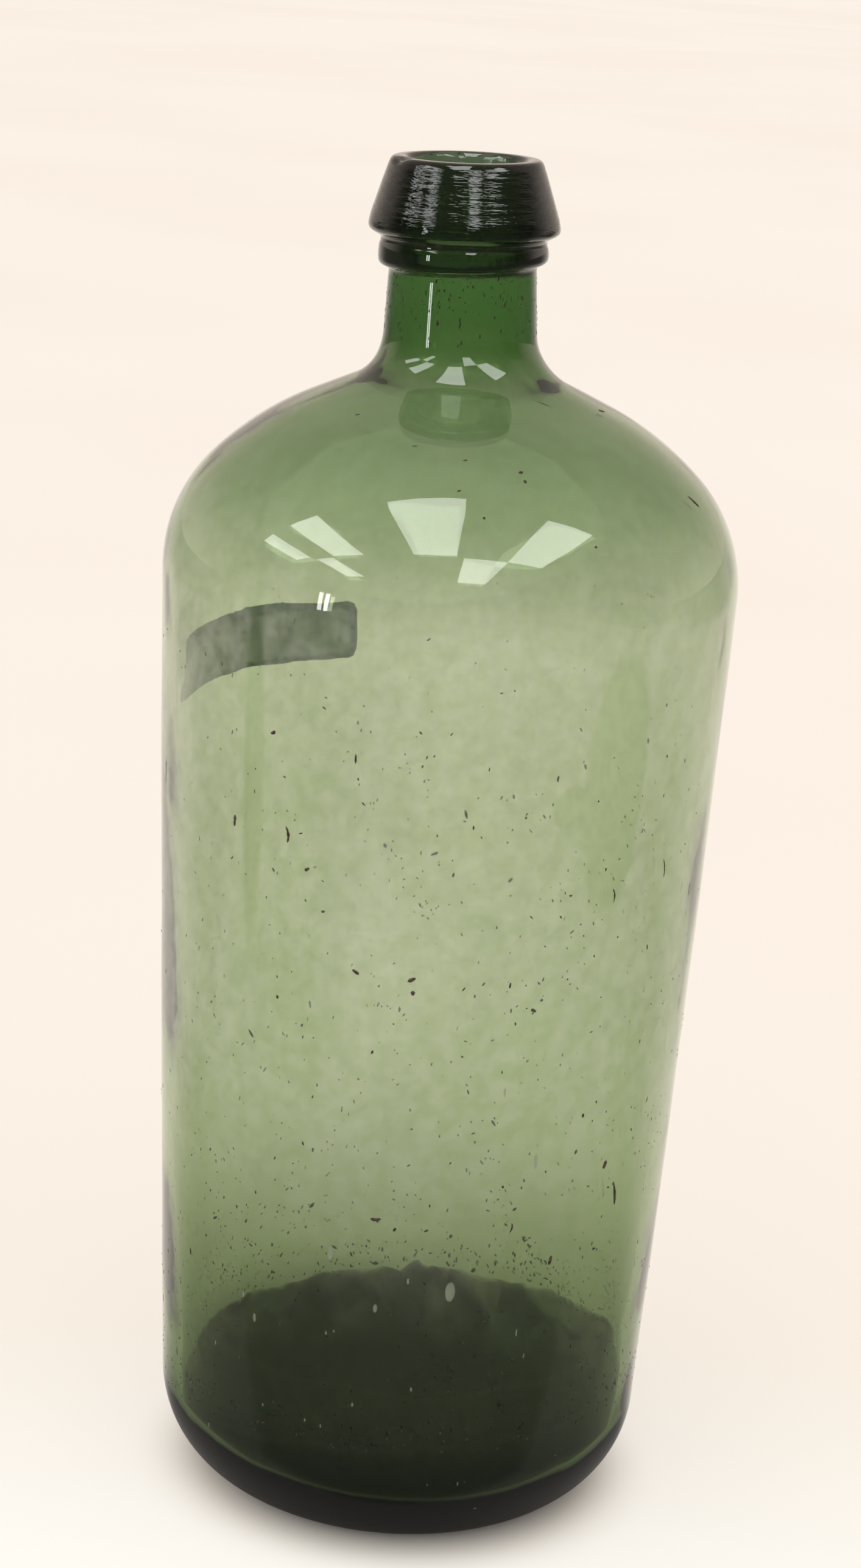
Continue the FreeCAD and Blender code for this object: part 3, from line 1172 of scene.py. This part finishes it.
def random_spots():
    """Turns and levels of the specks on the body."""
    spots = []
    for _ in range(SPECKS):
        turn = random.uniform(-180.0, 180.0)
        spots.append((turn, SPECKS_START + SPECKS_HEIGHT * random.random() ** 2.4))
    for _ in range(CLUSTERS):
        turn = random.uniform(-180.0, 180.0)
        level = CLUSTERS_START + CLUSTERS_HEIGHT * random.random() ** 2
        for _ in range(random.randint(7, 18)):
            beside = random.gauss(turn, CLUSTER_SPREAD[0])
            spots.append((beside, max(SPECKS_START, random.gauss(level, CLUSTER_SPREAD[1]))))
    for _ in range(EDGE_SPECKS):
        turn = random.uniform(-180.0, 180.0)
        above = EDGE_GAP + abs(random.gauss(0.0, EDGE_SPREAD))
        spots.append((turn, sediment_top(turn) + above))
    return spots


def make_dirt():
    bm = bmesh.new()
    add_flecks_seen(bm, FLECKS)
    for turn, level in random_spots():
        size = random.uniform(*SPECK_SIZES)
        size *= LARGER if random.random() < LARGER_SHARE else 1.0
        tilt = random.gauss(0.0, 35.0)
        inside = random.random() < INSIDE_SHARE
        add_fleck(bm, turn, level, size * random.uniform(1.0, 3.0), size, tilt, 0.0, inside)
    for _ in range(NECK_SPECKS):
        turn = random.uniform(-180.0, 180.0)
        level = NECK_SPECKS_START + NECK_SPECKS_HEIGHT * random.random() ** 0.6
        size = random.uniform(*NECK_SPECK_SIZES)
        length = size * random.uniform(1.2, 4.0)
        add_fleck(bm, turn, level, length, size, random.gauss(0.0, 15.0), 0.0)
    flecks = new_object("dirt_flecks", bm, fleck_material("dirt", DIRT_DARK, DIRT_BROWN))
    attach(flecks, "root")


def make_amber():
    bm = bmesh.new()
    add_flecks_seen(bm, AMBER)
    amber = new_object("amber_spots", bm, fleck_material("amber", AMBER_DARK, AMBER_PALE))
    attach(amber, "root")


make_dirt()
make_amber()


# The ground: its colours, how even its tone is, and how much of it the glass doesn't mirror
FLOOR_REACH = 40.0
FLOOR_COLOUR = (0.955, 0.885, 0.80, 1.0)
FLOOR_SHADE = (0.935, 0.855, 0.765, 1.0)
FLOOR_NEAR = (1.0, 0.995, 0.955, 1.0)
FLOOR_NEAR_FADE = (0.10, -0.12)
FLOOR_DARK = (0.02, 0.02, 0.02, 1.0)
FLOOR_EVEN = 0.72
FLOOR_OPEN = (FOOT_RADIUS - 0.012, FOOT_RADIUS + 0.008)

FLOOR_END = 0.88
FLOOR_END_FADE = (-0.035, -0.068)
FLOOR_SIDE_END = 0.75
FLOOR_SIDE_TURNS = (130.0, 95.0)
FLOOR_APART_END = 0.80
FLOOR_APART_FADE = (0.45, 0.95)
FLOOR_APART_TURNS = (160.0, 125.0)


def floor_material():
    """Pale ground. What the camera sees of it is part even tone, part lit, so shadows stay."""
    n = Nodes(bpy.data.materials.new("pale_floor"))
    x, y, _ = n.add("SeparateXYZ", Vector=n.place).outputs
    tone = n.ramp(n.noise(1.4, 2.0), 0.3, 0.7)
    colour = n.mix(tone, FLOOR_COLOUR, FLOOR_SHADE)
    colour = n.mix(n.ramp(y, *FLOOR_NEAR_FADE), colour, FLOOR_NEAR)
    lit = n.add("BsdfDiffuse", Color=colour, Roughness=0.9)
    even = n.add("Emission", Color=colour, Strength=1.0)
    rays = n.add("LightPath").outputs
    seen = n.total(rays["Is Camera Ray"], rays["Is Glossy Ray"], rays["Is Transmission Ray"])
    reach = n.maths("POWER", n.total(n.product(x, x), n.product(y, y)), 0.5)
    share = n.product(n.maths("MINIMUM", seen, 1.0), n.ramp(reach, *FLOOR_OPEN), FLOOR_EVEN)
    both = n.add("MixShader", Fac=share)
    n.link(lit.outputs[0], both.inputs[1])
    n.link(even.outputs[0], both.inputs[2])

    # The glass mirrors less of the ground in front, where the cloth ends in the photograph
    turn = n.maths("ABSOLUTE", n.round_the_axis()[0])
    near = n.product(n.ramp(y, *FLOOR_END_FADE), FLOOR_END)
    sideways = n.product(n.ramp(turn, *FLOOR_SIDE_TURNS), FLOOR_SIDE_END)
    apart = n.ramp(n.maths("ABSOLUTE", x), *FLOOR_APART_FADE)
    apart = n.product(apart, n.ramp(turn, *FLOOR_APART_TURNS), FLOOR_APART_END)
    mirrored = n.product(rays["Is Glossy Ray"], n.less(rays["Is Transmission Ray"]))
    ends = n.product(n.maths("MAXIMUM", n.maths("MAXIMUM", near, sideways), apart), mirrored)
    shown = n.add("MixShader", Fac=ends)
    dark = n.add("BsdfDiffuse", Color=FLOOR_DARK)
    n.link(both.outputs[0], shown.inputs[1])
    n.link(dark.outputs[0], shown.inputs[2])
    return n.shown(shown)


def make_floor():
    bm = bmesh.new()
    bmesh.ops.create_grid(bm, x_segments=1, y_segments=1, size=FLOOR_REACH)
    new_object("floor", bm, floor_material())


make_floor()

# Ceiling panels, as they show in the shoulder: middle and size across and along, in metres
CEILING = 1.66
PANEL_LIGHT = 6.0
PANELS = {
    "panel_near": (-0.21, -0.83, 0.56, 1.27),
    "panel_far": (0.46, -2.20, 0.58, 1.34),
    "panel_right": (1.04, -0.87, 0.60, 1.30),
    "panel_left": (-1.57, -0.84, 0.62, 1.28),
    "panel_outer_left": (-2.88, -0.80, 0.66, 1.24),
    "panel_far_left": (-2.20, -2.14, 0.50, 1.20),
}

# A tall window pane at the left, seen as a thin line on the neck
PANE_TURNS = (-49.9, -47.0)
PANE_AWAY = 3.0
PANE_WIDTH = 0.10
PANE_LEVELS = (0.06, 0.66)
PANE_LIGHT = 14.0

# The soft light on all surfaces: its turn and spread in degrees, and its power
KEY_TURN = (20.0, -10.0, 0.0)
KEY_SPREAD = 110.0
KEY_POWER = 2.5
KEY_COLOUR = (1.0, 0.985, 0.96)


def add_light(name, kind):
    light = bpy.data.lights.new(name, kind)
    obj = bpy.data.objects.new(name, light)
    bpy.context.scene.collection.objects.link(obj)
    return obj, light


def add_panel(name, place, width, length, brightness, turn):
    """A bright area that the glass mirrors. Matte surfaces don't see it."""
    obj, light = add_light(name, "AREA")
    light.shape = "RECTANGLE"
    light.size = width
    light.size_y = length
    light.energy = brightness * math.pi * width * length
    obj.location = place
    obj.rotation_euler = turn
    obj.visible_diffuse = False


def add_key():
    obj, light = add_light("soft_key", "SUN")
    light.energy = KEY_POWER
    light.angle = math.radians(KEY_SPREAD)
    light.color = KEY_COLOUR
    obj.rotation_euler = [math.radians(d) for d in KEY_TURN]
    obj.visible_glossy = False


for name, (x, y, width, length) in PANELS.items():
    add_panel(name, (x, y, CEILING), width, length, PANEL_LIGHT, (0.0, 0.0, 0.0))

for degrees in PANE_TURNS:
    turn = math.radians(degrees)
    place = (math.sin(turn) * PANE_AWAY, -math.cos(turn) * PANE_AWAY, sum(PANE_LEVELS) / 2)
    tall = PANE_LEVELS[1] - PANE_LEVELS[0]
    add_panel("pane", place, PANE_WIDTH, tall, PANE_LIGHT, (math.pi / 2, 0.0, turn))

add_key()

# The room: pale behind and above, and dim in front
ROOM_BEHIND = 0.85
ROOM_PALE = 0.56
ROOM_COLOUR = (1.0, 0.87, 0.76, 1.0)
ROOM_DIM = 0.22
ROOM_DARK = 0.10
ROOM_SEEN = 0.96
ROOM_RISE = (0.30, 0.45)
ROOM_BEHIND_RISE = (0.10, 0.45)
ROOM_FRONT = (-0.05, -0.35)
ROOM_BACK = (0.55, 0.25)


def add_room():
    world = bpy.data.worlds.new("room")
    bpy.context.scene.world = world
    n = Nodes(world, "World", "Generated")
    _, y, z = n.add("SeparateXYZ", Vector=n.place).outputs

    # It grows paler from front to back, between two places that shift with the height
    behind = n.ramp(z, *ROOM_BEHIND_RISE, ROOM_BEHIND, ROOM_PALE)
    start = n.ramp(z, *ROOM_RISE, *ROOM_FRONT)
    end = n.ramp(z, *ROOM_RISE, *ROOM_BACK)
    dim = n.ramp(z, *ROOM_RISE, ROOM_DARK, ROOM_DIM)
    strength = n.ramp(y, start, end, dim, behind)

    # Seen straight or through the glass, the room is as pale as the ground
    rays = n.add("LightPath").outputs
    direct = n.ramp(rays["Is Camera Ray"], 0.0, 1.0, rays["Is Transmission Ray"], 1.0)
    seen = n.ramp(rays["Diffuse Depth"], 0.0, 1.0, direct, 0.0)
    shown = n.ramp(seen, 0.0, 1.0, strength, ROOM_SEEN)
    n.shown(n.add("Background", Color=ROOM_COLOUR, Strength=shown))


add_room()
bpy.context.scene.view_settings.view_transform = "Standard"
